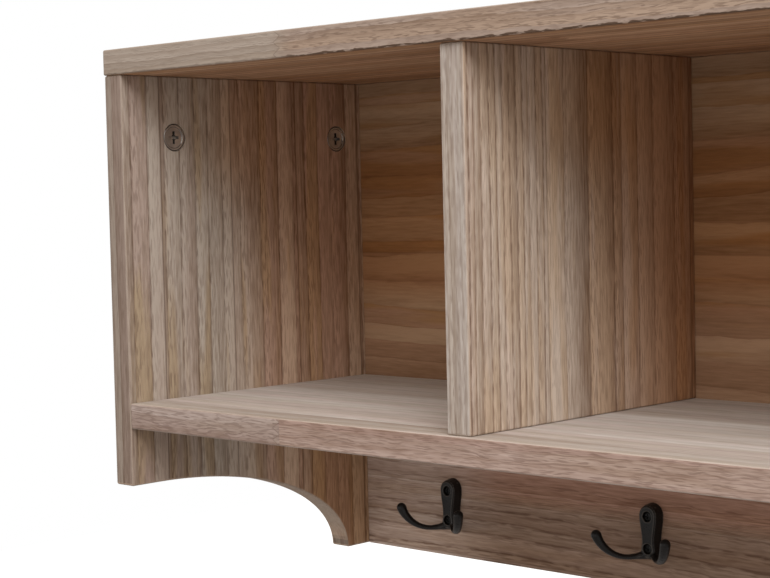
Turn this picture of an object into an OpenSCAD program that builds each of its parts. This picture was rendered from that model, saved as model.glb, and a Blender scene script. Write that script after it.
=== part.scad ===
// Wall coat rack with a compartment shelf above a rail of double hooks.
// Millimetres. X runs along the wall, +Y into the wall and +Z up.
// The origin is on the wall face, in the middle of the row of wall screw holes.

/* [Carcass] */
// Width over the side panels
rack_w = 750; // [600:10:1000]
// Depth of the top board, from the wall
rack_d = 200; // [180:5:260]
// Thickness of the top board, sides, shelf and partitions
board_t = 14; // [13:1:20]
// Thickness of the back board
back_t = 14; // [12:1:20]
// Clear height of the compartments
bay_h = 180; // [150:5:240]
// Height of the back board that shows below the shelf
rail_h = 92; // [85:1:140]
// How far the top board stands ahead of the sides and the shelf
top_reveal = 1; // [0:0.5:5]
// How far a partition stands behind the front of the shelf
partition_setback = 1.5; // [0:0.5:6]
// Radius of the eased edges of every board
ease_r = 1; // [0.5:0.1:1.5]

/* [Side panels] */
// Height of the front foot above the bottom of the leg
foot_rise = 60; // [40:1:75]
// Depth of the leg at its bottom, from the wall
leg_d = 32; // [26:1:50]
// Level stretch behind the front edge, before the arch starts
toe_flat = 20; // [5:1:40]

/* [Wall screw holes] */
// Distance between the two holes
hang_pitch = 406; // [300:1:420]
// Height of the holes below the top board
hang_drop = 45; // [30:1:60]
// Diameter of a hole
hang_hole_d = 5.5; // [4.5:0.5:7]
// Diameter of its countersink in the face of the back board
hang_sink_d = 11; // [9:0.5:13]

/* [Cam fittings] */
// Diameter of a cam
cam_d = 15; // [12:0.5:15]
// Thickness of a cam
cam_t = 11; // [10:0.5:11.5]
// Gap round a cam in its pocket
cam_gap = 0.35; // [0.2:0.05:0.6]
// Distance of a cam from the joint that it pulls together
cam_reach = 34; // [30:1:40]
// Distance of a front cam from the front edge
cam_front = 37; // [30:1:45]
// Distance of a rear cam from the face of the back board
cam_rear = 20; // [14:1:30]
// Diameter of a cam bolt's shank
bolt_d = 6; // [5:0.5:6]
// Depth to which a cam bolt is screwed into a board
bolt_bite = 9; // [7:0.5:10]

/* [Dowels] */
// Diameter of a dowel
dowel_d = 8; // [6:1:8]
// Length of a dowel
dowel_l = 28; // [24:1:32]
// Distance of a dowel from the cam beside it
dowel_step = 32; // [20:1:36]
// Depth to which a dowel enters a board's face
dowel_bite = 9; // [7:0.5:10]

/* [Carcass screws] */
// Diameter of a screw's shank
screw_d = 3.6; // [3:0.1:4.2]
// Diameter of a screw's countersunk head
screw_head_d = 7.6; // [6.5:0.1:8.5]
// Length of a screw
screw_l = 38; // [30:1:45]

/* [Hooks] */
// Height of a hook's bottom above the bottom of the rail
hook_rise = 16.5; // [8:0.5:30]
// Height of a hook's plate
hook_h = 31; // [28:0.5:40]
// Radius of the plate's round top, at the rail
plate_r = 6.5; // [6:0.1:8.5]
// Half width of the plate's neck, at the rail
neck_r = 4.9; // [4.4:0.1:5.8]
// Height of the neck above the plate's bottom
neck_z = 10; // [9:0.5:13]
// Half width of the plate's foot, where the arms leave it
foot_r = 5.8; // [5.2:0.1:8]
// Thickness of the plate
plate_t = 6.6; // [5.5:0.1:8]
// Angle of each arm from straight out
arm_angle = 48; // [35:1:60]
// Level length of an arm after the bend between the two
arm_level = 8.5; // [6:0.5:14]
// Radius of an arm's upward sweep
arm_sweep_r = 18.3; // [14:0.1:24]
// Angle that an arm sweeps through
arm_sweep = 71; // [50:1:85]
// Radius of the bend between the arms, seen from above
bend_r = 5; // [4:0.5:8]
// Half thickness of the arms where they leave the plate
root_thin = 2.6; // [2:0.1:3.5]
// Half thickness of an arm at its thinnest
arm_thin = 1.4; // [1.2:0.1:2]
// Half width of an arm
arm_wide = 2.3; // [1.8:0.1:2.8]
// Radius of the knob at an arm's tip
tip_r = 3; // [2.6:0.1:3.6]

/* [Hook screws] */
// Diameter of a hook screw's shank
pin_d = 2.8; // [2.4:0.1:3.2]
// Diameter of a hook screw's head
pin_head_d = 5.2; // [4.6:0.1:5.6]
// Length of a hook screw under its head
pin_l = 13; // [10:0.5:15]
// Depth of a hook screw's seat in the plate
pin_sink = 2.4; // [1:0.1:3]

/* [Hidden] */
$fn = 48;

// Compartments, and hooks along the rail
bay_count = 3;
hook_count = 5;

// Clearance round a fastener in its hole
play = 0.1;
// Length by which a cutting shape passes a face
past = 1;
// How far a cam bolt's head passes the middle of its cam
bolt_over = 1.4;
// How far a blind hole goes past the piece in it
hole_over = 0.5;
// Height of the straight rim on a screw's flat head
screw_rim = 0.4;
// Steps in the quarter round of an eased edge, and in the arch
ease_steps = 3;
arch_steps = 44;
// A corner of an outline is rounded a little more than the edges that meet there
corner_r = ease_r * 1.3;

// Heights, from the row of wall screw holes
under_z = hang_drop;
shelf_z = under_z - bay_h;
rail_top_z = shelf_z - board_t;
bottom_z = rail_top_z - rail_h;

// Depths, negative towards the room
front_y = -(rack_d - top_reveal);
rail_y = -back_t;
partition_y = front_y + partition_setback;
body_d = rail_y - front_y;

// Widths
inner_w = rack_w - 2 * board_t;
bay_w = (inner_w - (bay_count - 1) * board_t) / bay_count;
partition_x = [for (i = [1:1:bay_count - 1]) -inner_w / 2 + i * (bay_w + board_t) - board_t / 2];
hook_pitch = inner_w / hook_count;
hook_z = bottom_z + hook_rise;

// Where the fasteners stand, as depths and heights
cam_y = [front_y + cam_front, rail_y - cam_rear];
dowel_y = [cam_y[0] + dowel_step, cam_y[1] - dowel_step];
bay_mid_z = (under_z + shelf_z) / 2;
rail_mid_z = (rail_top_z + bottom_z) / 2;
bay_mid_x = [for (i = [0:bay_count - 1]) -inner_w / 2 + bay_w / 2 + i * (bay_w + board_t)];

// Hook screws, as heights above the plate's bottom, and the distance of their seats from the rail
pin_z = [6.3, hook_h - plate_r - 0.6];
pin_seat = plate_t - pin_sink;
pin_head_t = 1.5;
pin_sink_d = pin_head_d + 0.6;

oak = [0.66, 0.58, 0.50];
shaded = [0.58, 0.50, 0.42];
black = [0.13, 0.13, 0.13];
zinc = [0.62, 0.62, 0.60];
beech = [0.80, 0.68, 0.50];
steel = [0.72, 0.70, 0.62];

// Outlines

function unit(v) = v / norm(v);
function normal(a, b) = let (u = unit(b - a)) [-u[1], u[0]];
function before(p, i) = p[(i + len(p) - 1) % len(p)];
function after(p, i) = p[(i + 1) % len(p)];
function turn(p, i) = acos(max(-1, min(1, unit(p[i] - before(p, i)) * unit(after(p, i) - p[i]))));

// An anticlockwise outline moved inwards by d
function inset(p, d) = [for (i = [0:len(p) - 1])
    let (m = normal(before(p, i), p[i]), n = normal(p[i], after(p, i)))
    p[i] + d * (m + n) / (1 + m * n)];

// The same outline with its sharp convex corners rounded
function rounded(p, r) = [for (i = [0:len(p) - 1])
    let (m = normal(before(p, i), p[i]), n = normal(p[i], after(p, i)), a = turn(p, i),
        centre = p[i] + r * (m + n) / (1 + m * n), from = atan2(-m[1], -m[0]))
    for (k = [0:a > 30 ? ease_steps : 0])
        a > 30 ? centre + r * [cos(from + a * k / ease_steps), sin(from + a * k / ease_steps)] : p[i]];

function box_outline(w, d) = [[0, 0], [w, 0], [w, d], [0, d]];

// One face that spans a ring of n points, all of them in sight of the first
function whole_end(n) = [[for (i = [0:n - 1]) i]];

// Strips that span a ring mirrored in X, from its lowest point, which comes first, to its highest
function strip_end(n) = concat([[0, 1, n - 1]],
    [for (k = [1:n / 2 - 2]) [k, k + 1, n - k - 1, n - k]],
    [[n / 2 - 1, n / 2, n / 2 + 1]]);

// A closed solid through rings of points that all have the same count, with the same faces at both ends
module loft(rings, end) {
    n = len(rings[0]);
    last = len(rings) - 1;
    walls = [for (k = [0:last - 1], i = [0:n - 1])
        [k * n + i, (k + 1) * n + i, (k + 1) * n + (i + 1) % n, k * n + (i + 1) % n]];
    far_end = [for (face = end) [for (i = [0:len(face) - 1]) last * n + face[(len(face) - i) % len(face)]]];
    polyhedron(points = [for (ring = rings, p = ring) p], faces = concat(end, walls, far_end));
}

// A board of thickness t on the XY plane, with every edge eased. The outline's first corner sees all of it.
module board(outline, t) {
    shape = rounded(outline, corner_r);
    low = [for (k = [0:ease_steps])
        let (a = 90 * k / ease_steps)
        [for (p = inset(shape, ease_r * (1 - sin(a)))) [p[0], p[1], ease_r * (1 - cos(a))]]];
    high = [for (k = [ease_steps:-1:0]) [for (p = low[k]) [p[0], p[1], t - p[2]]]];
    loft(concat(low, high), whole_end(len(shape)));
}

// A hole of diameter d that starts at a face and runs along +Z to the depth given
module drill(d, depth) {
    translate([0, 0, -past]) cylinder(d = d, h = depth + past);
}

// Turns that lay +Z along another axis
module along_x() rotate([0, 90, 0]) children();
module along_y() rotate([-90, 0, 0]) children();
module downwards() rotate([180, 0, 0]) children();
module mirrored_x(side) scale([side, 1, 1]) children();

// Fasteners, each with its axis on Z

// Four short arms cut into a round head, for a cross-point driver
module cross_recess(span, depth) {
    web = span / 4.5;
    for (a = [0, 90]) rotate(a) translate([-span / 2, -web / 2, -depth]) cube([span, web, depth + past]);
    translate([0, 0, -depth]) cylinder(d1 = web, d2 = web * 2.2, h = depth + past / 10);
}

// Lies with its face at z = 0 and its body below. The bolt comes in along +X.
module cam() {
    r = cam_d / 2;
    bevel = 0.5;
    lip = 1.35;
    dish = 0.4;
    recess_depth = 2.6;
    slot_d = bolt_d + 8 * play;
    slot_back = bolt_over + 2 * play;
    difference() {
        rotate_extrude() polygon([[0, -cam_t], [r - bevel, -cam_t], [r, bevel - cam_t],
            [r, -bevel], [r - bevel, 0], [r - lip, 0], [r - lip - dish, -dish], [0, -dish]]);
        translate([0, 0, -dish]) cross_recess(r * 0.95, recess_depth);
        translate([-slot_back, 0, cam_gap - board_t / 2]) along_x()
            cylinder(d = slot_d, h = slot_back + r + past);
    }
}

// Stands on z = 0, threaded below it and with its head in the cam above it
module cam_bolt() {
    r = bolt_d / 2;
    waist_r = bolt_d * 0.3;
    head_r = bolt_d * 0.46;
    bevel = 0.8;
    step = 1;
    head_t = 1.8;
    head_z = cam_reach + bolt_over;
    waist_z = cam_reach - cam_d / 2 - step;
    rotate_extrude() polygon([[0, -bolt_bite], [r - bevel, -bolt_bite], [r, 1.5 * bevel - bolt_bite],
        [r, waist_z - step], [waist_r, waist_z], [waist_r, head_z - head_t - step],
        [head_r, head_z - head_t], [head_r, head_z - bevel], [head_r - bevel, head_z], [0, head_z]]);
}

// Starts at z = 0 and runs to its length, with chamfered ends
module dowel() {
    r = dowel_d / 2;
    bevel = 0.8;
    rotate_extrude() polygon([[0, 0], [r - bevel, 0], [r, 1.5 * bevel],
        [r, dowel_l - 1.5 * bevel], [r - bevel, dowel_l], [0, dowel_l]]);
}

// Its flat head is at z = 0 and its point at z = length
module flat_screw(d, head_d, length) {
    head_t = screw_rim + (head_d - d) / 2;
    point_r = 0.3;
    recess_depth = 1.8;
    difference() {
        rotate_extrude() polygon([[0, 0], [head_d / 2, 0], [head_d / 2, screw_rim], [d / 2, head_t],
            [d / 2, length - d], [point_r, length], [0, length]]);
        mirror([0, 0, 1]) cross_recess(head_d * 0.56, recess_depth);
    }
}

// The hole that a flat screw goes through and the blind one that its thread bites in
module screw_hole(d, head_d, through, length) {
    translate([0, 0, -past]) cylinder(d = head_d + 2 * play, h = past + screw_rim + play);
    translate([0, 0, screw_rim])
        cylinder(d1 = head_d + 2 * play, d2 = d + 2 * play, h = (head_d - d) / 2 + play);
    drill(d + 2 * play, min(length + play, through));
}

// A low domed head whose underside is at z = 0, with its shank along +Z
module hook_screw() {
    r = pin_head_d / 2;
    rim = 0.5;
    point_r = 0.2;
    point_l = 2.5;
    recess_depth = 1.1;
    difference() {
        rotate_extrude() polygon(concat(
            [[0, pin_l], [point_r, pin_l], [pin_d / 2, pin_l - point_l], [pin_d / 2, 0], [r, 0]],
            [for (a = [0:15:90]) [r * cos(a), -rim - (pin_head_t - rim) * sin(a)]]));
        mirror([0, 0, 1]) translate([0, 0, pin_head_t]) cross_recess(pin_head_d * 0.55, recess_depth);
    }
}

// Places of the fasteners. The children lie with +Z going into the board that the screw or bolt bites.

// At the tops of the sides, the joint with the top board
module at_side_tops(depths) {
    for (side = [-1, 1], y = depths)
        translate([side * (rack_w - board_t) / 2, y, under_z]) mirrored_x(side) children();
}

// At the ends of the shelf, the joint with each side
module at_shelf_ends(depths) {
    for (side = [-1, 1], y = depths)
        translate([side * inner_w / 2, y, shelf_z - board_t / 2]) mirrored_x(side) children();
}

// At the ends of the back board, the joint with each side
module at_back_ends() {
    for (side = [-1, 1], z = [bay_mid_z, rail_mid_z])
        translate([side * inner_w / 2, -back_t / 2, z]) mirrored_x(side) children();
}

module at_hang_holes() {
    for (side = [-1, 1]) translate([side * hang_pitch / 2, 0, 0]) children();
}

module at_hooks() {
    for (i = [0:hook_count - 1]) at_hook(i) children();
}

module at_hook(i) {
    translate([-inner_w / 2 + (i + 0.5) * hook_pitch, rail_y, hook_z]) children();
}

// Holes that are shared by the boards and their fasteners

module cam_pockets_in_sides() {
    at_side_tops(cam_y) {
        translate([-board_t / 2, 0, -cam_reach]) along_x() drill(cam_d + 2 * cam_gap, cam_t + cam_gap);
        downwards() drill(bolt_d + 4 * play, cam_reach);
    }
}

module cam_pockets_in_shelf() {
    at_shelf_ends(cam_y) {
        translate([-cam_reach, 0, -board_t / 2]) drill(cam_d + 2 * cam_gap, cam_t + cam_gap);
        rotate([0, -90, 0]) drill(bolt_d + 4 * play, cam_reach);
    }
}

module dowel_hole(bite) drill(dowel_d + 2 * play, bite + hole_over);

module bolt_hole() drill(bolt_d + 2 * play, bolt_bite + hole_over);

// Boards

module top_board() {
    color(oak) difference() {
        translate([-rack_w / 2, -rack_d, under_z]) board(box_outline(rack_w, rack_d), board_t);
        at_side_tops(cam_y) bolt_hole();
        at_side_tops(dowel_y) dowel_hole(dowel_bite);
        for (x = partition_x, y = dowel_y) translate([x, y, under_z]) dowel_hole(dowel_bite);
    }
}

// Seen from the side: a quarter ellipse runs from the front foot down to the leg
function arch(i) = let (a = 90 * i / arch_steps, start = front_y + toe_flat, reach = -leg_d - start)
    [start + reach * sin(a), bottom_z + foot_rise * cos(a)];
side_outline = concat([[0, under_z], [front_y, under_z], [front_y, bottom_z + foot_rise]],
    [for (i = [0:arch_steps]) arch(i)], [[0, bottom_z]]);

module side_panel(side) {
    color(shaded) difference() {
        translate([side * rack_w / 2 + (side > 0 ? -board_t : 0), 0, 0])
            rotate([90, 0, 90]) board(side_outline, board_t);
        cam_pockets_in_sides();
        at_side_tops(dowel_y) downwards() dowel_hole(dowel_l - dowel_bite);
        at_shelf_ends(cam_y) along_x() bolt_hole();
        at_shelf_ends(dowel_y) along_x() dowel_hole(dowel_bite);
        at_back_ends() along_x() dowel_hole(dowel_bite);
    }
}

module side_left() side_panel(-1);
module side_right() side_panel(1);

module shelf_board() {
    color(oak) difference() {
        translate([-inner_w / 2, front_y, shelf_z - board_t]) board(box_outline(inner_w, body_d), board_t);
        cam_pockets_in_shelf();
        at_shelf_ends(dowel_y) rotate([0, -90, 0]) dowel_hole(dowel_l - dowel_bite);
        for (x = partition_x, y = cam_y) translate([x, y, rail_top_z])
            screw_hole(screw_d, screw_head_d, board_t + past, screw_l);
        for (x = bay_mid_x) translate([x, 0, shelf_z - board_t / 2]) rotate([90, 0, 0])
            drill(screw_d + 2 * play, screw_l + play);
    }
}

module back_board() {
    color(shaded) difference() {
        translate([-inner_w / 2, 0, bottom_z]) rotate([90, 0, 0])
            board(box_outline(inner_w, under_z - bottom_z), back_t);
        at_back_ends() rotate([0, -90, 0]) dowel_hole(dowel_l - dowel_bite);
        for (x = bay_mid_x) translate([x, 0, shelf_z - board_t / 2]) rotate([90, 0, 0])
            screw_hole(screw_d, screw_head_d, back_t + past, screw_l);
        for (x = partition_x) translate([x, 0, bay_mid_z]) rotate([90, 0, 0])
            screw_hole(screw_d, screw_head_d, back_t + past, screw_l);
        at_hooks() for (z = pin_z) translate([0, -pin_seat, z]) along_y()
            drill(pin_d + 2 * play, pin_l + play);
        at_hang_holes() {
            rotate([90, 0, 0]) drill(hang_hole_d, back_t + past);
            translate([0, rail_y, 0]) along_y()
                cylinder(d1 = hang_sink_d, d2 = hang_hole_d, h = (hang_sink_d - hang_hole_d) / 2);
        }
    }
}

module partition(i) {
    x = partition_x[i];
    color(shaded) difference() {
        translate([x - board_t / 2, 0, 0]) rotate([90, 0, 90])
            translate([partition_y, shelf_z]) board(box_outline(rail_y - partition_y, bay_h), board_t);
        for (y = dowel_y) translate([x, y, under_z]) downwards() dowel_hole(dowel_l - dowel_bite);
        for (y = cam_y) translate([x, y, rail_top_z]) drill(screw_d + 2 * play, screw_l + play);
        translate([x, 0, bay_mid_z]) rotate([90, 0, 0]) drill(screw_d + 2 * play, screw_l + play);
    }
}

module partition_left() partition(0);
module partition_right() partition(1);

// Hooks

// Half width of the plate at height z: a round top, a slim neck and a flared foot
foot_z = 3;
crown_z = hook_h - plate_r;
function ease_between(a, b, t) = a + (b - a) * (1 - cos(180 * t)) / 2;
function plate_half(z) =
    z < foot_z ? foot_r * sqrt(max(0, 1 - pow((foot_z - z) / foot_z, 2)))
    : z < neck_z ? ease_between(foot_r, neck_r, (z - foot_z) / (neck_z - foot_z))
    : z < crown_z ? ease_between(neck_r, plate_r, (z - neck_z) / (crown_z - neck_z))
    : sqrt(max(0, plate_r * plate_r - pow(z - crown_z, 2)));

// Heights at which the plate's outline is taken, from its lowest point to its highest
plate_z = concat(
    [for (a = [60, 30]) foot_z * (1 - sin(a))],
    [for (k = [0:2]) foot_z + (neck_z - foot_z) * k / 3],
    [for (k = [0:4]) neck_z + (crown_z - neck_z) * k / 5],
    [for (a = [0:18:72]) crown_z + plate_r * sin(a)]);
plate_outline = concat([[0, 0]], [for (z = plate_z) [plate_half(z), z]], [[0, hook_h]],
    [for (k = [len(plate_z) - 1:-1:0]) [-plate_half(plate_z[k]), plate_z[k]]]);

// How far the middle of the bend lies behind the plate's face
bar_sink = 3.2;
// Height of the arms' underside above the plate's bottom
arm_floor = 0.1;

// The plate's edge, a drafted side and a soft bevel, as [distance from the rail, how far it has drawn in]
edge_draft = 0.6;
edge_bevel = 1.3;
plate_edge = [[0, 0], [plate_t * 0.62, edge_draft], [plate_t * 0.88, edge_draft + edge_bevel * 0.35],
    [plate_t, edge_draft + edge_bevel]];

module plate() {
    loft([for (e = plate_edge) [for (p = inset(plate_outline, e[1])) [p[0], -e[0], p[1]]]],
        strip_end(len(plate_outline)));
}

// The two arms are one bar, bent in plan round the front of the plate's foot. A station on it is
// [x, distance from the rail, height, heading from straight out, slope, half thickness, half width].
arm_sides = 12;
arm_turns = 9;
bend_steps = 3;
// Above 1, an arm stays slim and swells only near its tip
swell_late = 1.5;
tip_steps = 3;
function bend_plan(t) = [bend_r * sin(t), plate_t - bar_sink + bend_r * (1 - cos(t))];
function bend_station(t) =
    concat(bend_plan(t), [arm_floor + root_thin, 90 - t, 0, root_thin, arm_wide]);
function arm_station(s, z, slope, thin, wide) =
    concat(bend_plan(90 - arm_angle) + s * [sin(arm_angle), cos(arm_angle)],
        [z, arm_angle, slope, thin, wide]);
function level_station(s) =
    let (thin = arm_thin + (root_thin - arm_thin) * pow(1 - s / arm_level, 2))
    arm_station(s, arm_floor + thin, 0, thin, arm_wide);
function sweep_s(a) = arm_level + arm_sweep_r * sin(a);
function sweep_z(a) = arm_floor + arm_thin + arm_sweep_r * (1 - cos(a));
function sweep_station(a) =
    let (w = pow(a / arm_sweep, swell_late), thin = arm_thin + (tip_r - arm_thin) * w)
    arm_station(sweep_s(a), sweep_z(a), a, thin, arm_wide + (tip_r - arm_wide) * w);
function knob_station(q) =
    let (go = tip_r * sin(q), r = tip_r * cos(q), s = sweep_s(arm_sweep) + go * cos(arm_sweep))
    arm_station(s, sweep_z(arm_sweep) + go * sin(arm_sweep), arm_sweep, r, r);
arm_half = concat(
    [for (k = [0:bend_steps]) bend_station((90 - arm_angle) * k / bend_steps)],
    [for (k = [1, 2]) level_station(arm_level * k / 4)],
    [for (k = [0:arm_turns]) sweep_station(arm_sweep * k / arm_turns)],
    [for (k = [1:tip_steps]) knob_station(80 * k / tip_steps)]);
arm_other = [for (k = [len(arm_half) - 1:-1:1]) let (st = arm_half[k])
    [-st[0], st[1], st[2], 180 - st[3], -st[4], st[5], st[6]]];

function arm_ring(st) =
    let (out = [sin(st[3]), -cos(st[3]), 0], across = [cos(st[3]), sin(st[3]), 0],
        up = cos(st[4]) * [0, 0, 1] - sin(st[4]) * out)
    [for (k = [0:arm_sides - 1]) let (q = 360 * k / arm_sides)
        [st[0], -st[1], st[2]] + st[6] * cos(q) * across + st[5] * sin(q) * up];

module arms() loft([for (st = concat(arm_other, arm_half)) arm_ring(st)], whole_end(arm_sides));

module hook(i) {
    color(black) at_hook(i) difference() {
        union() {
            plate();
            arms();
        }
        for (z = pin_z) translate([0, 0, z]) rotate([90, 0, 0]) {
            drill(pin_d + 2 * play, plate_t + past);
            translate([0, 0, pin_seat]) cylinder(d = pin_sink_d, h = plate_t);
        }
    }
}

module hook_1() hook(0);
module hook_2() hook(1);
module hook_3() hook(2);
module hook_4() hook(3);
module hook_5() hook(4);

// Fastener groups

module hook_screws() {
    color(black) at_hooks() for (z = pin_z) translate([0, -pin_seat, z]) along_y() hook_screw();
}

module cam_discs() {
    color(zinc) {
        at_side_tops(cam_y) translate([-board_t / 2 + cam_gap, 0, -cam_reach]) rotate([0, -90, 0]) cam();
        at_shelf_ends(cam_y) translate([-cam_reach, 0, -board_t / 2 + cam_gap]) mirror([0, 0, 1]) cam();
    }
}

module cam_bolts() {
    color(steel) {
        at_side_tops(cam_y) downwards() cam_bolt();
        at_shelf_ends(cam_y) rotate([0, -90, 0]) cam_bolt();
    }
}

module dowels() {
    color(beech) {
        at_side_tops(dowel_y) translate([0, 0, dowel_bite]) downwards() dowel();
        for (x = partition_x, y = dowel_y) translate([x, y, under_z + dowel_bite]) downwards() dowel();
        at_shelf_ends(dowel_y) translate([dowel_bite, 0, 0]) rotate([0, -90, 0]) dowel();
        at_back_ends() translate([dowel_bite, 0, 0]) rotate([0, -90, 0]) dowel();
    }
}

module partition_screws() {
    color(steel) for (x = partition_x, y = cam_y) translate([x, y, rail_top_z])
        flat_screw(screw_d, screw_head_d, screw_l);
}

module back_screws() {
    color(steel) {
        for (x = bay_mid_x) translate([x, 0, shelf_z - board_t / 2]) rotate([90, 0, 0])
            flat_screw(screw_d, screw_head_d, screw_l);
        for (x = partition_x) translate([x, 0, bay_mid_z]) rotate([90, 0, 0])
            flat_screw(screw_d, screw_head_d, screw_l);
    }
}

top_board();
side_left();
side_right();
shelf_board();
back_board();
partition_left();
partition_right();
hook_1();
hook_2();
hook_3();
hook_4();
hook_5();
hook_screws();
cam_discs();
cam_bolts();
dowels();
partition_screws();
back_screws();
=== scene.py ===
# Wall coat rack with shelf: its finishes, hooks, camera and light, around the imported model
import bmesh
import bpy
import math
from mathutils import Euler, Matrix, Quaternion, Vector


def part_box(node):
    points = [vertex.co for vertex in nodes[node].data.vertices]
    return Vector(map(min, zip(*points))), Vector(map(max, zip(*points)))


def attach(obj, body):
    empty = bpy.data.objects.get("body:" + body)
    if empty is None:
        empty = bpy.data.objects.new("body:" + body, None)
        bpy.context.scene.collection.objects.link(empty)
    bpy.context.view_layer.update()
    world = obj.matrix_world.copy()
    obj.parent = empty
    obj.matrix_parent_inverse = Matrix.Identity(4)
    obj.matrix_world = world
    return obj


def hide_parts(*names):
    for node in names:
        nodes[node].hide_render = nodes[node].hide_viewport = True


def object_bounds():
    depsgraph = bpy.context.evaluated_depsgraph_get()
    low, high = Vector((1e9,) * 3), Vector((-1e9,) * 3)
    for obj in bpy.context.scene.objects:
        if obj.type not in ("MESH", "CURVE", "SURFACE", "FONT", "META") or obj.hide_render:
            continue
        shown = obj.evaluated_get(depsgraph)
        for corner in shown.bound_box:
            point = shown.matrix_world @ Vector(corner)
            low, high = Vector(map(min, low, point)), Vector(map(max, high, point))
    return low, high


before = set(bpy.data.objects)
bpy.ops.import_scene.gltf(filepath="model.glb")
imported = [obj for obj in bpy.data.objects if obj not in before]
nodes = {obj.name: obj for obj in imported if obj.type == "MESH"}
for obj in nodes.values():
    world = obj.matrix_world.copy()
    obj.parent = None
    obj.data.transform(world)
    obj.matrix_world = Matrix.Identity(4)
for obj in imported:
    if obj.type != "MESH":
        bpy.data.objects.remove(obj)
scene = bpy.context.scene
scene.view_settings.view_transform = "Standard"
cadLow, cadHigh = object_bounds()
mmPerMetre = 1000.0
print("frame loaded:", len(nodes), "nodes")


# The camera that fits the photo's edges best: places in metres, turns in degrees, the lens in millimetres
cameraView = {"place": (0.4204, -0.8147, -0.0234), "azimuth": 43.59, "pitch": -3.01, "roll": -1.3,
              "lens": 84.18, "nearest": 0.05}


def makeCamera(view):
    camera = bpy.data.objects.new("camera", bpy.data.cameras.new("camera"))
    scene.collection.objects.link(camera)
    level = Euler((math.radians(90 + view["pitch"]), 0, math.radians(view["azimuth"]))).to_quaternion()
    camera.rotation_mode = "QUATERNION"
    camera.rotation_quaternion = level @ Quaternion((0, 0, 1), math.radians(view["roll"]))
    camera.location = view["place"]
    camera.data.lens = view["lens"]
    camera.data.clip_start = view["nearest"]
    scene.camera = camera


makeCamera(cameraView)
print("camera placed")


# Helpers for node trees

def fill(tree, socket, value):
    if isinstance(value, bpy.types.NodeSocket):
        tree.links.new(value, socket)
    else:
        socket.default_value = value


def addNode(tree, kind, inputs=None, **settings):
    node = tree.nodes.new("ShaderNode" + kind)
    for name, value in settings.items():
        setattr(node, name, value)
    for name, value in (inputs or {}).items():
        fill(tree, node.inputs[name], value)
    return node


def calc(tree, operation, *values):
    node = addNode(tree, "Math", operation=operation)
    for i, value in enumerate(values):
        fill(tree, node.inputs[i], value)
    return node.outputs[0]


def blendColour(tree, share, a, b, mode="MIX"):  # 0, 6 and 7 are the Mix node's sockets for colours
    return addNode(tree, "Mix", {0: share, 6: a, 7: b}, data_type="RGBA", blend_type=mode).outputs[2]


def blendValue(tree, share, a, b):
    return addNode(tree, "Mix", {0: share, 2: a, 3: b}).outputs[0]


def ramp(tree, value, low, high, outLow=0.0, outHigh=1.0, smooth=True):
    node = addNode(tree, "MapRange", interpolation_type="SMOOTHSTEP" if smooth else "LINEAR")
    for i, v in enumerate((value, low, high, outLow, outHigh)):
        fill(tree, node.inputs[i], v)
    return node.outputs[0]


def grey(tree, value):  # a colour whose three channels are the value
    return addNode(tree, "CombineColor", {0: value, 1: value, 2: value}).outputs[0]


def noise(tree, place, scale, detail=0.0, rough=0.5):
    settings = {"Vector": place, "Scale": scale, "Detail": detail, "Roughness": rough}
    return addNode(tree, "TexNoise", settings).outputs[0]


def noiseAt(tree, u, v, w, lengths, detail=0.0, rough=0.5):  # noise stretched to a length along each axis
    place = addNode(tree, "CombineXYZ")
    for i, (value, length) in enumerate(zip((u, v, w), lengths)):
        fill(tree, place.inputs[i], calc(tree, "DIVIDE", value, length))
    return noise(tree, place.outputs[0], 1.0, detail, rough)


def newGroup(name, inputs, outputs):
    group = bpy.data.node_groups.new(name, "ShaderNodeTree")
    kinds = {"v": "NodeSocketVector", "f": "NodeSocketFloat", "c": "NodeSocketColor"}
    for label, kind, value in inputs:
        socket = group.interface.new_socket(label, in_out="INPUT", socket_type=kinds[kind])
        socket.default_value = value
    for label, kind in outputs:
        group.interface.new_socket(label, in_out="OUTPUT", socket_type=kinds[kind])
    return group, group.nodes.new("NodeGroupInput").outputs, group.nodes.new("NodeGroupOutput").inputs


def newMaterial(name):
    material = bpy.data.materials.new(name)
    material.use_nodes = True
    return material, material.node_tree, material.node_tree.nodes["Principled BSDF"]


# Wood. The place is in millimetres: x along the grain, y across the glued strips, z through the board.
# In markSize are the sizes of each mark along x, y and z, and in markFade what it fades in or out between.
markSize = {
    "wander": (190, 40, 40), "wiggle": (16, 14, 14),  # slow and quick bends of the rings
    "dash": (9, 2.5, 2.5),  # breaks in the rings' dark lines
    "fibre": (18, 1.4, 1.4), "patch": (240, 14, 14), "warm": (110, 9, 9),
}
markFade = {
    "line": (0.2, 1.05), "dash": (0.36, 0.6), "pore": (0.46, 0.64), "rosy": (0.4, 1.0), "golden": (0.5, 0.7),
    "glue": (0.15, 0.8), "joint": (0.1, 0.5),
}
markColour = {
    "line": (0.12, 0.065, 0.04, 1), "pore": (0.12, 0.07, 0.05, 1), "glue": (0.08, 0.04, 0.022, 1),
}
gluing = {
    "finger": 3.0, "fingerSlope": 1.6,  # the zigzag of a finger joint
    "stagger": 0.37,  # the step of the joints from strip to strip, as a share of a piece
    "stripStep": 17.3, "seedStep": 5.77,  # they give each piece a number of its own
    "jump": (900.0, 300.0, 120.0),  # how far apart in the tree two pieces can lie
    "least": 0.4, "jointDark": 0.35,  # how dark the faintest glue line and every joint are
}
rings = {"lean": 0.6, "least": 0.35}  # their slant through the board, and how dark the faintest line is
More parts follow.
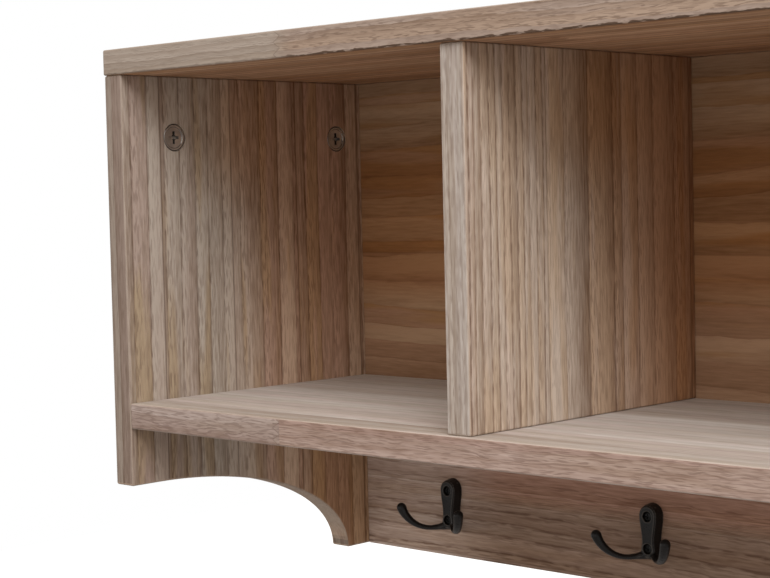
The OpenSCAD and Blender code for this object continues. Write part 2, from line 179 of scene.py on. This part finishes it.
# How strongly each mark tells in the shade of the wood, in its redness and warmth, its gloss and its relief
shadeMix = {"mean": 0.36, "fibre": 2.4, "year": 1.2, "piece": 0.4}
warmMix = {"redPiece": 0.5, "redPatch": 0.8, "goldYear": 0.4, "goldPiece": 0.2, "shift": 500.0}
roughMix = {"mean": 0.66, "pore": 0.2, "fibre": 0.12}
relief = {"fibre": 0.4, "pore": 0.6, "glue": 0.5, "line": 0.3}


def makeWoodGroup():
    g, put, out = newGroup("washedWood", [
        ("Place", "v", (0, 0, 0)), ("Seed", "f", 0.0), ("Strip Width", "f", 60.0), ("Strip Start", "f", 0.0),
        ("Glue Line", "f", 0.6), ("Piece Length", "f", 4000.0), ("Piece Start", "f", -2000.0),
        ("Ring Gap", "f", 8.0), ("Gap Spread", "f", 0.3), ("Ring Line", "f", 0.5), ("Ring Shade", "f", 0.4),
        ("Wander", "f", 1.5), ("Wiggle", "f", 0.3), ("Pore Length", "f", 12.0), ("Pore Width", "f", 1.2),
        ("Pore Depth", "f", 0.4), ("Pore Rows", "f", 0.6), ("Fibre", "f", 0.35), ("Patches", "f", 0.5),
        ("Pale", "c", (0.4, 0.3, 0.24, 1)), ("Deep", "c", (0.2, 0.13, 0.09, 1)),
        ("Rosy", "c", (0.4, 0.27, 0.22, 1)), ("Golden", "c", (0.38, 0.24, 0.14, 1)),
        ("Tint", "c", (1, 1, 1, 1)),
    ], [("Colour", "c"), ("Rough", "f"), ("Height", "f")])

    def times(a, b):
        return calc(g, "MULTIPLY", a, b)

    def plus(a, b):
        return calc(g, "ADD", a, b)

    def minus(a, b):
        return calc(g, "SUBTRACT", a, b)

    def over(a, b):
        return calc(g, "DIVIDE", a, b)

    def whole(value):
        return calc(g, "FLOOR", value)

    def swing(value, amount):  # a noise or random number turned into plus or minus half the amount
        return times(minus(value, 0.5), amount)

    def parts(colour):
        return addNode(g, "SeparateColor", {0: colour}).outputs

    place = addNode(g, "SeparateXYZ", {0: put["Place"]}).outputs
    u, v, w = place[0], place[1], place[2]

    # glued strips, each of pieces that are finger-jointed end to end; a piece has three random numbers
    strip = over(minus(v, put["Strip Start"]), put["Strip Width"])
    fingers = times(calc(g, "PINGPONG", plus(v, w), gluing["finger"]), gluing["fingerSlope"])
    length = over(minus(plus(u, fingers), put["Piece Start"]), put["Piece Length"])
    piece = plus(length, times(whole(strip), gluing["stagger"]))
    ownSeed = plus(whole(piece), times(put["Seed"], gluing["seedStep"]))
    number = plus(times(whole(strip), gluing["stripStep"]), ownSeed)
    luck = parts(addNode(g, "TexWhiteNoise", {"W": number}, noise_dimensions="1D").outputs["Color"])
    fromGlue = times(calc(g, "PINGPONG", strip, 0.5), put["Strip Width"])
    fromJoint = times(calc(g, "PINGPONG", piece, 0.5), put["Piece Length"])
    u1, v1, w1 = [plus(a, times(luck[i], gluing["jump"][i])) for i, a in enumerate((u, v, w))]
    gap = times(put["Ring Gap"], calc(g, "POWER", 2.0, times(swing(luck[0], 2.0), put["Gap Spread"])))

    # growth rings: a dark line at the end of each year and a slow shade before it
    wander = plus(swing(noiseAt(g, u1, v1, w1, markSize["wander"]), times(put["Wander"], 2.0)),
                  swing(noiseAt(g, u1, v1, w1, markSize["wiggle"], 1.0), times(put["Wiggle"], 2.0)))
    phase = over(plus(plus(v1, times(w1, rings["lean"])), wander), gap)
    nearest, border = [addNode(g, "TexVoronoi", {"W": phase, "Scale": 1.0, "Randomness": 0.5},
                               voronoi_dimensions="1D", feature=feature).outputs
                       for feature in ("F1", "DISTANCE_TO_EDGE")]
    ring = parts(nearest["Color"])
    year = minus(phase, nearest["W"])
    slope = ramp(g, year, -0.5, 0.5, 0.0, 1.0, False)
    early = ramp(g, year, -0.5, 0.1, 1.0, 0.0)
    fromLine = times(border["Distance"], gap)
    dashes = ramp(g, noiseAt(g, u1, v1, w1, markSize["dash"], 1.0), *markFade["dash"], rings["least"], 1.0)
    strength = plus(rings["least"], times(ring[0], 1 - rings["least"]))
    line = times(times(ramp(g, fromLine, *markFade["line"], 1.0, 0.0), strength), dashes)

    # fibres, open pores and slow patches of colour
    fibre = noiseAt(g, u1, v1, w1, markSize["fibre"], 2.0, 0.6)
    poreAt = [over(a, put[b]) for a, b in (
        (u1, "Pore Length"), (plus(v1, wander), "Pore Width"), (plus(w1, wander), "Pore Width"))]
    pores = noiseAt(g, *poreAt, (1, 1, 1), 1.0)
    rows = plus(minus(1.0, put["Pore Rows"]), times(early, put["Pore Rows"]))
    hollow = times(ramp(g, pores, *markFade["pore"]), rows)
    patch = noiseAt(g, u1, v1, w1, markSize["patch"], 1.0)
    warm = noiseAt(g, plus(u1, warmMix["shift"]), v1, w1, markSize["warm"], 1.0)

    # the colours: pale to deep wood, warmer patches, then the lines, the pores and the glue
    shade = plus(shadeMix["mean"], swing(fibre, times(put["Fibre"], shadeMix["fibre"])))
    shade = plus(shade, swing(slope, put["Ring Shade"]))
    shade = plus(shade, swing(ring[1], times(put["Ring Shade"], shadeMix["year"])))
    shade = plus(shade, swing(patch, put["Patches"]))
    shade = plus(shade, swing(luck[0], times(put["Patches"], shadeMix["piece"])))
    shade = ramp(g, shade, 0.0, 1.0, 0.0, 1.0, False)
    colour = blendColour(g, shade, put["Pale"], put["Deep"])
    redness = plus(swing(luck[1], warmMix["redPiece"]), plus(ring[2], swing(patch, warmMix["redPatch"])))
    warmth = plus(swing(ring[0], warmMix["goldYear"]), plus(swing(luck[2], warmMix["goldPiece"]), warm))
    for amount, fade, tone in ((redness, "rosy", "Rosy"), (warmth, "golden", "Golden")):
        share = times(ramp(g, amount, *markFade[fade]), put["Patches"])
        colour = blendColour(g, share, colour, blendColour(g, shade, put[tone], put["Deep"]))
    colour = blendColour(g, times(line, put["Ring Line"]), colour, markColour["line"])
    colour = blendColour(g, times(hollow, put["Pore Depth"]), colour, markColour["pore"])
    glueDark = times(put["Glue Line"], plus(gluing["least"], times(luck[1], 1 - gluing["least"])))
    glue = times(ramp(g, fromGlue, *markFade["glue"], 1.0, 0.0), glueDark)
    glue = calc(g, "MAXIMUM", glue, ramp(g, fromJoint, *markFade["joint"], gluing["jointDark"], 0.0))
    colour = blendColour(g, glue, colour, markColour["glue"])
    colour = blendColour(g, 1.0, colour, put["Tint"], "MULTIPLY")

    g.links.new(colour, out["Colour"])
    rough = plus(roughMix["mean"], times(hollow, roughMix["pore"]))
    g.links.new(plus(rough, swing(fibre, roughMix["fibre"])), out["Rough"])
    height = minus(times(fibre, relief["fibre"]), times(hollow, relief["pore"]))
    lines = plus(times(glue, relief["glue"]), times(line, relief["line"]))
    g.links.new(minus(height, lines), out["Height"])
    return g


woodGroup = makeWoodGroup()

# Turns that lay the grain along x and the strips across y
grainTurn = {"along": (0, 0, 0), "upright": (0, math.radians(90), 0), "rail": (math.radians(90), 0, 0)}
woodTone = {
    "Pale": (0.52, 0.46, 0.41, 1), "Deep": (0.22, 0.155, 0.11, 1),
    "Rosy": (0.46, 0.36, 0.32, 1), "Golden": (0.46, 0.335, 0.21, 1), "Tint": (1, 1, 1, 1),
}
woodSurface = {"specular": 0.14, "bump": 0.5, "depth": 0.0003}
# How far a face looks to the front or down before it counts as "front" or "under"
facingPlace = {"front": (0.5, 0.9), "under": (-0.1, -0.3)}
sharpEnd = 0.001
# The rounded edges, which look along none of the axes, get a painted highlight, a paler colour; the curved
# cut of the arch takes it too
edgeHighlight = {"colour": (0.34, 0.29, 0.25, 1), "share": 0.5, "between": (0.8, 0.98)}
# A lower front edge is darker in a ragged band, with dark bits above it in places; left of its start it is
# darkened less
darkLowerEdge = {"colour": (0.07, 0.04, 0.025, 1), "share": 0.9, "reach": 2.0, "solid": 0.3, "pull": 0.35,
            "raggedSize": (7.0, 4.0, 1.2), "between": (0.7, 0.8), "facing": (-0.3, -0.5),
            "start": -240.0, "startFade": 20.0, "leftShare": 0.35}


def shareOf(tree, places, mm, facing):  # 1 where all the places meet, 0 outside them
    share = 1.0
    for place in places:
        if place == "front":
            ends = [ramp(tree, calc(tree, "ABSOLUTE", facing[1]), *facingPlace[place])]
        elif place == "under":
            ends = [ramp(tree, facing[2], *facingPlace[place])]
        else:
            way, lowest, highest, fade = [*place, sharpEnd][:4]
            ends = [ramp(tree, mm["xyz".index(way)], end, end + inwards)
                    for end, inwards in ((lowest, fade), (highest, -fade))]
        for end in ends:
            share = calc(tree, "MULTIPLY", share, end)
    return share


def raggedDarkOf(tree, height, mm, facing):  # the ragged dark band of a front edge at this height
    lowEdge = darkLowerEdge
    near = ramp(tree, mm[2], height + lowEdge["reach"], height + lowEdge["solid"], 0.0, lowEdge["pull"])
    ragged = calc(tree, "ADD", near, noiseAt(tree, *mm, lowEdge["raggedSize"], 2.0))
    atFront = ramp(tree, facing[1], *lowEdge["facing"], 0.0, lowEdge["share"])
    alongEdge = ramp(tree, mm[0], lowEdge["start"], lowEdge["start"] + lowEdge["startFade"], lowEdge["leftShare"], 1.0)
    darkBits = calc(tree, "MULTIPLY", ramp(tree, ragged, *lowEdge["between"]), atFront)
    return calc(tree, "MULTIPLY", darkBits, alongEdge)


def makeWood(name, turn, face, *others):
    # face is the look of the whole board. Each of the others is a list of places on it and what changes
    # where they meet: "front" is the narrow front and back, "under" is what faces down, such as the arch,
    # and x, y or z with two limits in millimetres is a stretch, with soft ends if a third number is there.
    # Dark Edge Height is the height in millimetres of a front edge that is darkened in a ragged band.
    material, tree, shader = newMaterial(name)
    coord = addNode(tree, "TexCoord").outputs["Object"]
    metres = addNode(tree, "SeparateXYZ", {0: coord}).outputs
    mm = [calc(tree, "MULTIPLY", along, mmPerMetre) for along in metres]
    facing = addNode(tree, "SeparateXYZ", {0: addNode(tree, "NewGeometry").outputs["Normal"]}).outputs
    wood = addNode(tree, "Group", node_tree=woodGroup)
    mapped = addNode(tree, "Mapping", {"Vector": coord, "Scale": (mmPerMetre,) * 3,
                                       "Rotation": grainTurn[turn]})
    tree.links.new(mapped.outputs[0], wood.inputs["Place"])

    values = {**woodTone, **face}
    darkEdgeAt = values.pop("Dark Edge Height", None)
    for places, look in others:
        share = shareOf(tree, places, mm, facing)
        for key, value in look.items():
            blend = blendColour if isinstance(value, tuple) else blendValue
            values[key] = blend(tree, share, values.get(key, wood.inputs[key].default_value), value)
    for key, value in values.items():
        fill(tree, wood.inputs[key], value)

    x, y, z = [calc(tree, "ABSOLUTE", way) for way in facing]
    squareness = calc(tree, "MAXIMUM", x, calc(tree, "MAXIMUM", y, z))
    # painted highlight on the rounded edges, and on the arch's cut
    edgeLit = ramp(tree, squareness, *edgeHighlight["between"], edgeHighlight["share"], 0.0)
    colour = blendColour(tree, edgeLit, wood.outputs["Colour"], edgeHighlight["colour"])
    if darkEdgeAt is not None:
        colour = blendColour(tree, raggedDarkOf(tree, darkEdgeAt, mm, facing), colour, darkLowerEdge["colour"])
    tree.links.new(colour, shader.inputs["Base Color"])
    tree.links.new(wood.outputs["Rough"], shader.inputs["Roughness"])
    bump = addNode(tree, "Bump", {"Height": wood.outputs["Height"], "Strength": woodSurface["bump"],
                                  "Distance": woodSurface["depth"]})
    tree.links.new(bump.outputs[0], shader.inputs["Normal"])
    shader.inputs["Specular IOR Level"].default_value = woodSurface["specular"]
    return material


def paint(name, material):
    nodes[name].data.materials.clear()
    nodes[name].data.materials.append(material)


# Places on the boards, in millimetres. A limit beyond a board leaves the stretch open there.
# Deeper in the rack the wood is painted browner and warmer, a painted shade.
topUnder = round(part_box("top_board")[0].z * mmPerMetre, 3)
shelfUnder = round(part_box("shelf_board")[0].z * mmPerMetre, 3)
sideOut = round(cadHigh.x * mmPerMetre, 3)
skin = 1.0
innerFaces = ("x", skin - sideOut, sideOut - skin)
belowShelf = ("z", -300, shelfUnder)
roomSide = ("y", -60, -skin)

# The front of a board is one strip, whose pieces meet in a finger joint left of the first partition
frontStrip = {"Strip Start": -300.0, "Strip Width": 600.0, "Glue Line": 0.0, "Piece Length": 360.0}

# Top board: washed wood outside, browner below with a painted warm shade, and a front edge that is plain
# left of the joint
topLook = {"Seed": 1.3, "Strip Width": 45.0, "Ring Gap": 9.0, "Glue Line": 0.6, "Pore Depth": 0.3,
           "Ring Shade": 0.4, "Dark Edge Height": topUnder, "Tint": (0.74, 0.76, 0.78, 1)}
# painted warm shade on the underside, with its own glue lines and rings
topBelow = ["under"], {"Glue Line": 0.9, "Ring Shade": 0.5, "Tint": (1.26, 0.95, 0.7, 1)}
topFront = ["front"], {**frontStrip, "Ring Gap": 2.4, "Ring Line": 0.1, "Pore Length": 6.0,
                       "Pore Width": 0.75, "Pore Depth": 0.45, "Wiggle": 0.7, "Patches": 0.4,
                       "Piece Start": -233.0, "Tint": (0.655, 0.597, 0.58, 1)}
topFrontLeft = ["front", ("x", -400, -222, 20)], {"Pore Depth": 0.15, "Patches": 0.1, "Fibre": 0.2,
                                                  "Tint": (0.65, 0.64, 0.63, 1)}
paint("top_board", makeWood("top_board_wood", "along", topLook, topBelow, topFront, topFrontLeft))

# Shelf: the palest board, with open pores in its front edge
shelfLook = {"Seed": 3.1, "Strip Width": 90.0, "Ring Gap": 9.0, "Ring Line": 0.15, "Ring Shade": 0.2,
             "Glue Line": 0.15, "Pore Depth": 0.1, "Patches": 0.6, "Wander": 5.0, "Fibre": 0.25,
             "Golden": (0.44, 0.38, 0.31, 1), "Tint": (1.16, 1.23, 1.31, 1)}
shelfJoint = -241.6
shelfFront = ["front"], {**frontStrip, "Ring Gap": 2.6, "Ring Line": 0.1, "Pore Length": 9.0,
                         "Pore Width": 0.7, "Pore Depth": 0.42, "Wiggle": 1.0, "Fibre": 0.4,
                         "Pore Rows": 0.3, "Piece Start": shelfJoint, "Tint": (0.87, 0.785, 0.805, 1)}
shelfFrontLeft = ["front", ("x", -400, shelfJoint)], {"Pore Length": 8.0, "Pore Depth": 0.45,
                                                      "Tint": (0.76, 0.72, 0.76, 1)}
paint("shelf_board", makeWood("shelf_board_wood", "along", shelfLook, shelfFront, shelfFrontLeft))

# Back board: its rear, the wall of the compartments and the rail of the hooks, with painted shade and light
# inside
backLook = {"Seed": 2.4, "Strip Start": 59.0, "Strip Width": 90.0, "Ring Gap": 15.0, "Ring Line": 0.35,
            "Ring Shade": 0.35, "Wander": 9.0, "Wiggle": 1.0, "Glue Line": 0.3, "Pore Depth": 0.2,
            "Fibre": 0.35, "Patches": 0.6, "Tint": (0.8, 0.78, 0.76, 1)}
# the wall's own grain, and a painted warm shade on it
backIn = [roomSide], {"Patches": 1.0, "Pore Depth": 0.05, "Ring Line": 0.2,
                      "Golden": (0.44, 0.33, 0.225, 1), "Tint": (0.85, 0.66, 0.48, 1)}
# painted shadow of the top board on the upper wall
backTop = [roomSide, ("z", -100, 20, 30)], {"Tint": (0.76, 0.485, 0.28, 1)}
# the rail's own grain, with a painted shade under the shelf
rail = [roomSide, belowShelf], {"Ring Gap": 7.0, "Ring Shade": 0.3, "Wander": 3.0, "Pore Depth": 0.45,
                                "Pore Length": 16.0, "Pore Width": 1.0, "Patches": 0.5, "Fibre": 0.4,
                                "Ring Line": 0.35, "Tint": (0.86, 0.62, 0.54, 1)}
railLow = [roomSide, ("z", -300, -196, 12)], {"Ring Line": 0.8, "Ring Gap": 6.0, "Wander": 8.0,
                                              "Patches": 0.3, "Tint": (0.64, 0.53, 0.47, 1)}
# painted light: the rail's left end is made lighter
railLeft = [roomSide, belowShelf, ("x", -500, -240, 70)], {"Tint": (1.15, 1.08, 1.08, 1)}
paint("back_board", makeWood("back_board_wood", "rail", backLook, backIn, backTop, rail, railLow, railLeft))

# Side panels: a painted darker, browner shade at the back, under the top and below the shelf, with a narrow
# front and the plain cut of the arch
sideLook = {"Strip Start": -172.6, "Strip Width": 52.0, "Ring Gap": 13.5, "Ring Line": 0.7,
            "Ring Shade": 0.6, "Patches": 0.9, "Fibre": 0.7, "Pore Length": 8.0, "Pore Width": 1.3,
            "Pore Depth": 0.4, "Golden": (0.45, 0.35, 0.245, 1), "Tint": (0.82, 0.84, 0.83, 1)}
sideIn = [innerFaces], {"Tint": (0.88, 0.88, 0.86, 1)}
# painted shade: sideTop is the top board's shadow, sideBack the shade at the back, sideLeg and sideBelow the
# shade below the shelf
sideTop = [innerFaces, ("y", -155, 110, 60), ("z", -40, 80, 50)], {"Tint": (1.1, 0.85, 0.62, 1)}
sideBack = [innerFaces, ("y", -140, 80, 70)], {"Tint": (1.13, 0.93, 0.77, 1)}
sideLeg = [innerFaces, belowShelf, ("y", -75, 80, 30)], {"Tint": (0.89, 0.65, 0.45, 1)}
sideBelow = [innerFaces, belowShelf, ("y", -260, -130, 50)], {"Tint": (0.72, 0.68, 0.64, 1)}
sideFront = ["front"], {"Ring Gap": 3.0, "Ring Line": 0.1, "Ring Shade": 0.45, "Pore Depth": 0.2,
                        "Patches": 0.7, "Tint": (0.5, 0.475, 0.46, 1)}
sideArch = ["under"], {"Ring Line": 0.0, "Ring Shade": 0.15, "Pore Depth": 0.1, "Patches": 0.2, "Fibre": 0.4,
                       "Glue Line": 0.0, "Tint": (0.9, 0.81, 0.74, 1)}
sidePlaces = [sideIn, sideTop, sideBack, sideLeg, sideBelow, sideFront, sideArch]
for side, seed in (("side_left", 4.2), ("side_right", 6.6)):
    look = {"Seed": seed, **sideLook}
    paint(side, makeWood(side + "_wood", "upright", look, *sidePlaces))

# Partitions: fine rings in the front strip, wide ones behind it, and a painted shade near the top and
# towards the back
partitionLook = {"Strip Start": -138.0, "Strip Width": 60.0, "Ring Gap": 4.9, "Gap Spread": 0.1,
                 "Ring Line": 0.75, "Ring Shade": 0.35, "Wiggle": 0.15, "Patches": 0.4, "Fibre": 0.5,
                 "Pore Length": 7.0, "Pore Depth": 0.3, "Tint": (1.2, 1.17, 1.13, 1)}
partitionBack = [("y", -138, 10)], {"Ring Gap": 18.0, "Ring Shade": 0.55, "Ring Line": 0.6, "Patches": 0.5,
                                    "Deep": (0.17, 0.11, 0.072, 1)}
# painted shade: partitionTop is the top board's shadow, partitionDeep the browner shade towards the back
partitionTop = [("y", -160, 110, 70), ("z", -35, 80, 50)], {"Tint": (1.05, 0.84, 0.62, 1)}
partitionDeep = [("y", -125, 110, 100)], {"Tint": (0.9, 0.6, 0.4, 1)}
partitionFront = ["front"], {"Ring Gap": 1.8, "Ring Line": 0.35, "Ring Shade": 0.3, "Patches": 0.2,
                             "Pore Depth": 0.3, "Tint": (0.98, 1.04, 1.11, 1)}
partitionPlaces = [partitionBack, partitionTop, partitionDeep, partitionFront]
for partition, seed in (("partition_left", 8.9), ("partition_right", 11.7)):
    look = {"Seed": seed, **partitionLook}
    paint(partition, makeWood(partition + "_wood", "upright", look, *partitionPlaces))

# Dowels: plain beech
dowelLook = {"Seed": 20.0, "Ring Gap": 1.5, "Patches": 0.0, "Pale": (0.55, 0.4, 0.25, 1)}
paint("dowels", makeWood("beech", "along", dowelLook))
print("wood finished")


# Metals. The shade clouds slowly over a piece, and a fine grain roughens it.
metalGrain = {"fine": 1400.0, "fineBetween": (0.25, 0.75), "slow": 160.0, "slowBetween": (0.3, 0.7),
              "clouds": (0.82, 1.18), "bump": 0.25, "depth": 0.0001}


def makeMetal(name, colour, metallic, rough, speckle, specular=0.5, hollowShade=None, rimHighlight=None):
    # hollowShade is the axes that a head's face looks along and how much of the colour is left in its cross
    # and rim, a painted shade in those hollows, and rimHighlight is the colour of a painted highlight on the
    # edges, how sharp they are and how far forward they go
    material, tree, shader = newMaterial(name)
    coord = addNode(tree, "TexCoord").outputs["Object"]
    geometry = addNode(tree, "NewGeometry").outputs
    fine = noise(tree, coord, metalGrain["fine"], 3.0)
    slow = noise(tree, coord, metalGrain["slow"], 2.0)
    cloudy = grey(tree, ramp(tree, slow, *metalGrain["slowBetween"], *metalGrain["clouds"]))
    tint = blendColour(tree, 1.0, (*colour, 1), cloudy, "MULTIPLY")
    # painted shade: faces that look across the head's axes, in its cross recess and on its rim, are darkened
    if hollowShade:
        normal = addNode(tree, "SeparateXYZ", {0: geometry["Normal"]}).outputs
        across = [calc(tree, "ABSOLUTE", normal["XYZ".index(way)]) for way in hollowShade["axes"]]
        flat = calc(tree, "MAXIMUM", *across)
        hollowDark = grey(tree, ramp(tree, flat, *hollowShade["between"], hollowShade["left"], 1.0))
        tint = blendColour(tree, 1.0, tint, hollowDark, "MULTIPLY")
    # painted highlight: the sharp convex rims at the front of a piece are made paler
    if rimHighlight:
        edges = ramp(tree, geometry["Pointiness"], *rimHighlight["between"])
        y = addNode(tree, "SeparateXYZ", {0: coord}).outputs[1]
        rimLit = calc(tree, "MULTIPLY", edges, ramp(tree, y, *rimHighlight["forward"]))
        tint = blendColour(tree, rimLit, tint, (*rimHighlight["colour"], 1))
    tree.links.new(tint, shader.inputs["Base Color"])
    speckled = ramp(tree, fine, *metalGrain["fineBetween"], rough - speckle, rough + speckle)
    tree.links.new(speckled, shader.inputs["Roughness"])
    bump = addNode(tree, "Bump", {"Height": fine, "Strength": metalGrain["bump"],
                                  "Distance": metalGrain["depth"]})
    tree.links.new(bump.outputs[0], shader.inputs["Normal"])
    shader.inputs["Metallic"].default_value = metallic
    shader.inputs["Specular IOR Level"].default_value = specular
    return material


# painted highlight along the front rims of the hook plates
castRimHighlight = {"colour": (0.055, 0.049, 0.045), "between": (0.508, 0.52), "forward": (-0.024, -0.022)}
# painted shade in the cross recess and round the rim of the cam heads
camHollowShade = {"axes": "XZ", "between": (0.6, 0.95), "left": 0.16}
castBlack = makeMetal("cast_black", (0.0092, 0.0076, 0.007), 0.0, 0.33, 0.07, 0.24, rimHighlight=castRimHighlight)
screwBlack = makeMetal("screw_black", (0.008, 0.0078, 0.0075), 0.0, 0.35, 0.06, 0.2)
dullZinc = makeMetal("dull_zinc", (0.6, 0.56, 0.52), 0.75, 0.36, 0.08, hollowShade=camHollowShade)
brightSteel = makeMetal("bright_steel", (0.6, 0.57, 0.5), 1.0, 0.32, 0.06)
paint("hook_screws", screwBlack)
paint("cam_discs", dullZinc)
for fixing in ("cam_bolts", "partition_screws", "back_screws"):
    paint(fixing, brightSteel)
print("metals finished")


# Hooks: each is a casting, so the solid's creases are melted a little. Sizes are in metres.
casting = {"count": 5, "voxel": 0.00032, "smoothings": 4, "strength": 0.5, "weld": 1e-6}


def castHook(name):
    mesh = nodes[name].data.copy()
    mesh.name = name + "_cast"
    bm = bmesh.new()
    bm.from_mesh(mesh)
    bmesh.ops.remove_doubles(bm, verts=bm.verts, dist=casting["weld"])
    bm.to_mesh(mesh)
    bm.free()
    piece = bpy.data.objects.new(name + "_cast", mesh)
    scene.collection.objects.link(piece)
    remesh = piece.modifiers.new("remesh", "REMESH")
    remesh.mode = "VOXEL"
    remesh.voxel_size = casting["voxel"]
    remesh.use_smooth_shade = True
    melt = piece.modifiers.new("melt", "SMOOTH")
    melt.factor = casting["strength"]
    melt.iterations = casting["smoothings"]
    bpy.context.view_layer.update()
    done = bpy.data.meshes.new_from_object(piece.evaluated_get(bpy.context.evaluated_depsgraph_get()))
    piece.modifiers.clear()
    piece.data = done
    piece.data.materials.clear()
    piece.data.materials.append(castBlack)
    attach(piece, "root")
    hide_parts(name)


for i in range(casting["count"]):
    castHook("hook_%d" % (i + 1))
print("hooks cast")


# Floor, world and lamp
floorLook = {"height": -1.5, "size": 6.0, "colour": (0.33, 0.345, 0.37, 1), "rough": 0.8, "glow": 0.8}
studio = {"strength": 1.04, "tint": (1, 0.88, 0.76, 1)}
keyLamp = {"azimuth": 42, "elevation": 46, "distance": 2.4, "size": 1.4, "watts": 52}
white = (1, 1, 1, 1)


def makeFloor(look):
    bm = bmesh.new()
    bmesh.ops.create_grid(bm, x_segments=1, y_segments=1, size=look["size"])
    bmesh.ops.translate(bm, verts=bm.verts, vec=(0, 0, look["height"]))
    mesh = bpy.data.meshes.new("floor")
    bm.to_mesh(mesh)
    bm.free()
    floor = bpy.data.objects.new("floor", mesh)
    scene.collection.objects.link(floor)
    material, tree, shader = newMaterial("floor")
    shader.inputs["Base Color"].default_value = look["colour"]
    shader.inputs["Roughness"].default_value = look["rough"]
    shader.inputs["Emission Color"].default_value = white
    below = addNode(tree, "NewGeometry").outputs["Backfacing"]  # a view from below looks through the floor
    tree.links.new(calc(tree, "SUBTRACT", 1.0, below), shader.inputs["Alpha"])
    seen = addNode(tree, "LightPath").outputs["Is Camera Ray"]
    tree.links.new(calc(tree, "MULTIPLY", seen, look["glow"]), shader.inputs["Emission Strength"])
    mesh.materials.append(material)


def makeWorld(look):
    world = bpy.data.worlds.new("studio")
    scene.world = world
    world.use_nodes = True
    tree = world.node_tree
    back = tree.nodes["Background"]
    path = addNode(tree, "LightPath").outputs
    seen = path["Is Camera Ray"]
    for ray in ("Is Glossy Ray", "Is Transmission Ray"):
        seen = calc(tree, "MAXIMUM", seen, path[ray])
    tree.links.new(ramp(tree, seen, 0.0, 1.0, look["strength"], 1.0, False), back.inputs["Strength"])
    tree.links.new(blendColour(tree, seen, look["tint"], white), back.inputs["Color"])


def makeLamp(name, look):
    lamp = bpy.data.objects.new(name, bpy.data.lights.new(name, "AREA"))
    scene.collection.objects.link(lamp)
    azimuth, elevation = math.radians(look["azimuth"]), math.radians(look["elevation"])
    level = math.cos(elevation)
    away = Vector((math.sin(azimuth) * level, -math.cos(azimuth) * level, math.sin(elevation)))
    lamp.location = (cadLow + cadHigh) / 2 + away * look["distance"]
    lamp.rotation_mode = "QUATERNION"
    lamp.rotation_quaternion = away.to_track_quat("Z", "Y")
    lamp.data.shape = "SQUARE"
    lamp.data.size = look["size"]
    lamp.data.energy = look["watts"]


makeFloor(floorLook)
makeWorld(studio)
makeLamp("key", keyLamp)
print("stage and lamp ready")
